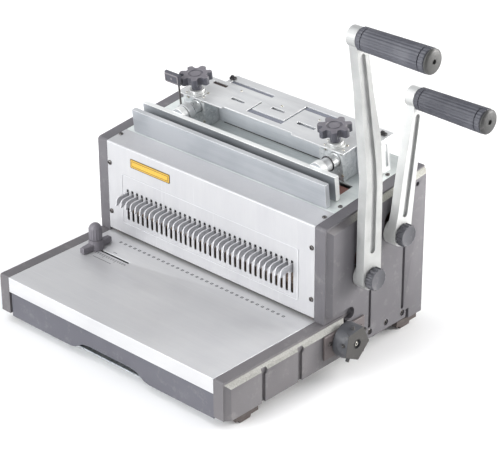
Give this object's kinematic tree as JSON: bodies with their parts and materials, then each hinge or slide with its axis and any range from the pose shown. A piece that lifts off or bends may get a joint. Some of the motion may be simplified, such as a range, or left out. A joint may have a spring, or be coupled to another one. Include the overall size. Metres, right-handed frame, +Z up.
{
  "type": "comb binding machine",
  "caption": "Manual wire-comb punch and closer: paper tray, slotted front panel with wire hooks, tilted deck with closing jaws, and punch and closing levers at the right side.",
  "frame": {"origin": "centre of the bounding box's base, on the surface the feet stand on", "axes": "+X to the operator's right, along the paper's bound edge and towards the levers' grips; +Y away from the operator; +Z up"},
  "size_m": [0.5134, 0.3556, 0.4459],
  "materials": {
    "slate_plastic": "fine textured moulding",
    "charcoal_plastic": "semi-matte moulding",
    "drawer_plastic": "matte moulding",
    "foot_rubber": "matte",
    "grip_rubber": "ribbed, matte",
    "white_paint": "fine grain powder coat",
    "tray_steel": "satin brushed",
    "deck_steel": "satin sheet",
    "zinc_steel": "zinc plated",
    "cast_aluminium": "satin cast",
    "polished_steel": "bright",
    "tool_steel": "ground, oiled",
    "primer_steel": "red oxide primer",
    "bronze": "machined"
  },
  "bodies": {
    "frame": {"base_pan": "zinc_steel", "tray_sheet": "tray_steel", "side_rail_right": "slate_plastic", "side_rail_left": "slate_plastic", "foot_front_left": "foot_rubber", "foot_rear_left": "foot_rubber", "foot_front_right": "foot_rubber", "foot_rear_right": "foot_rubber", "front_panel": "white_paint", "side_cover_right": "slate_plastic", "side_cover_left": "slate_plastic", "rear_cover": "deck_steel", "frame_plate_right": "primer_steel", "frame_plate_left": "primer_steel", "die_plate": "tool_steel", "punch_guide": "tool_steel", "wire_hook_rack": "zinc_steel", "punch_bush_right": "bronze", "punch_bush_left": "bronze", "punch_return_spring": "tool_steel", "closing_bush_right": "bronze", "closing_bush_left": "bronze", "closing_return_spring": "tool_steel", "deck_plate": "deck_steel", "closer_base": "primer_steel", "front_jaw": "zinc_steel", "closer_bracket_left": "zinc_steel", "closer_bracket_right": "zinc_steel", "closer_wall": "deck_steel", "bridge_plate": "cast_aluminium", "knob_nut_left": "polished_steel", "knob_nut_right": "polished_steel", "margin_plate": "slate_plastic"},
    "chip_drawer": {"drawer_front": "slate_plastic", "drawer_box": "drawer_plastic"},
    "punch_lever": {"punch_lever_arm": "cast_aluminium", "punch_grip": "grip_rubber", "punch_grip_cap": "charcoal_plastic", "punch_hub_cap": "slate_plastic", "punch_shaft": "tool_steel"},
    "punch_bar": {"punch_bar": "tool_steel"},
    "closing_lever": {"closing_lever_arm": "cast_aluminium", "closing_grip": "grip_rubber", "closing_grip_cap": "charcoal_plastic", "closing_hub_cap": "slate_plastic", "closing_shaft": "tool_steel"},
    "rear_jaw": {"rear_jaw": "zinc_steel", "guide_pin_left": "polished_steel", "guide_pin_right": "polished_steel", "closer_crosshead": "tool_steel"},
    "jaw_lock": {"jaw_lock_lever": "charcoal_plastic"},
    "star_knob_left": {"star_knob_left": "charcoal_plastic"},
    "star_knob_right": {"star_knob_right": "charcoal_plastic"},
    "margin_knob": {"margin_knob": "slate_plastic"},
    "margin_stop": {"margin_stop_bar": "polished_steel"},
    "edge_guide": {"edge_guide_bar": "charcoal_plastic"},
    "edge_guide_knob": {"edge_guide_knob": "charcoal_plastic"}
  },
  "joints": [
    {"name": "drawer_slide", "type": "slide", "parent": "frame", "child": "chip_drawer", "axis": [0, -1, 0], "range_m": [0, 0.15]},
    {"name": "punch_lever_turn", "type": "hinge", "parent": "frame", "child": "punch_lever", "pos_m": [0.14525, 0.05435, 0.117], "axis": [1, 0, 0], "range_deg": [0, 80], "stiffness_Nm_per_rad": 1.2, "springref_deg": -68.75},
    {"name": "punch_stroke", "type": "slide", "parent": "frame", "child": "punch_bar", "axis": [0, 0, -1], "range_m": [0, 0.0121]},
    {"name": "closing_lever_turn", "type": "hinge", "parent": "frame", "child": "closing_lever", "pos_m": [0.14525, 0.10935, 0.154], "axis": [1, 0, 0], "range_deg": [0, 20], "stiffness_Nm_per_rad": 1, "springref_deg": -34.38},
    {"name": "jaw_stroke", "type": "slide", "parent": "frame", "child": "rear_jaw", "axis": [0, -0.9942, -0.1077], "range_m": [0, 0.0091]},
    {"name": "jaw_lock_turn", "type": "hinge", "parent": "rear_jaw", "child": "jaw_lock", "pos_m": [-0.16375, 0.0679, 0.22967], "axis": [0, 0.9942, 0.1077], "range_deg": [-35, 35]},
    {"name": "star_knob_left_turn", "type": "hinge", "parent": "frame", "child": "star_knob_left", "pos_m": [-0.16375, 0.08682, 0.2639], "axis": [0, -0.1077, 0.9942], "range_deg": [0, 720]},
    {"name": "star_knob_right_turn", "type": "hinge", "parent": "frame", "child": "star_knob_right", "pos_m": [0.06625, 0.08682, 0.2639], "axis": [0, -0.1077, 0.9942], "range_deg": [0, 720]},
    {"name": "margin_knob_turn", "type": "hinge", "parent": "frame", "child": "margin_knob", "pos_m": [0.15025, 0.02185, 0.042], "axis": [1, 0, 0], "range_deg": [0, 288]},
    {"name": "margin_stop_slide", "type": "slide", "parent": "frame", "child": "margin_stop", "axis": [0, 1, 0], "range_m": [0, 0.0041]},
    {"name": "edge_guide_slide", "type": "slide", "parent": "frame", "child": "edge_guide", "axis": [1, 0, 0], "range_m": [0, 0.05]},
    {"name": "edge_guide_knob_turn", "type": "hinge", "parent": "edge_guide", "child": "edge_guide_knob", "pos_m": [-0.21175, -0.05115, 0.086], "axis": [0, 0, 1], "range_deg": [0, 360]}
  ],
  "couplings": [
    {"joint": "punch_stroke", "follows": "punch_lever_turn", "m_per_rad": 0.0085944},
    {"joint": "jaw_stroke", "follows": "closing_lever_turn", "m_per_rad": 0.025783},
    {"joint": "margin_stop_slide", "follows": "margin_knob_turn", "m_per_rad": 0.00079577}
  ]
}
